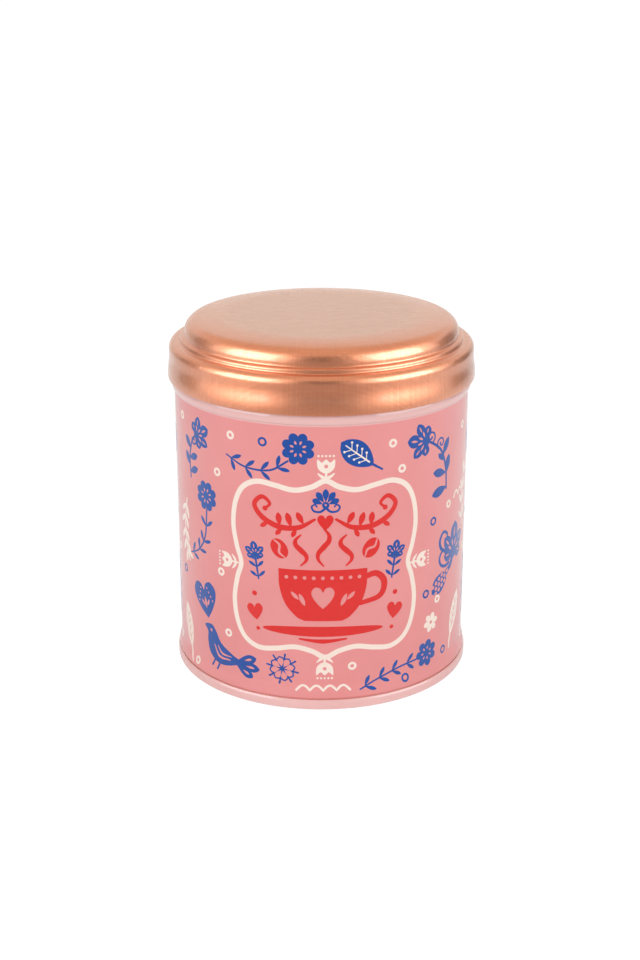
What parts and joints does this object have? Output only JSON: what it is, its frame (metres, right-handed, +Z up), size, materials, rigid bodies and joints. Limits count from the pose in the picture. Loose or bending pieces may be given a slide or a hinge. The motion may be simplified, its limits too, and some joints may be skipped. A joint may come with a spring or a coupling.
{
  "type": "coffee tin",
  "caption": "Round sheet-steel kitchen canister with a straight printed wall, a flared foot and a domed copper-finished slip lid.",
  "frame": {"origin": "centre of the underside of the base rim, on the surface the tin stands on", "axes": "+Z up along the tin's axis towards the lid; the front of the printing faces -Y and the side seam is at +Y"},
  "size_m": [0.108, 0.108, 0.127],
  "materials": {
    "printed_enamel": "gloss pink enamel, printed",
    "base_enamel": "gloss pink enamel",
    "sealing_compound": "matt",
    "copper_finish": "satin brushed copper plating on steel"
  },
  "bodies": {
    "tin": {"body_wall": "printed_enamel", "base_end": "base_enamel", "seam_compound": "sealing_compound"},
    "lid": {"lid_shell": "copper_finish"}
  },
  "joints": [
    {"name": "lid_lift", "type": "slide", "parent": "tin", "child": "lid", "axis": [0, 0, 1], "range_m": [0, 0.08]}
  ]
}
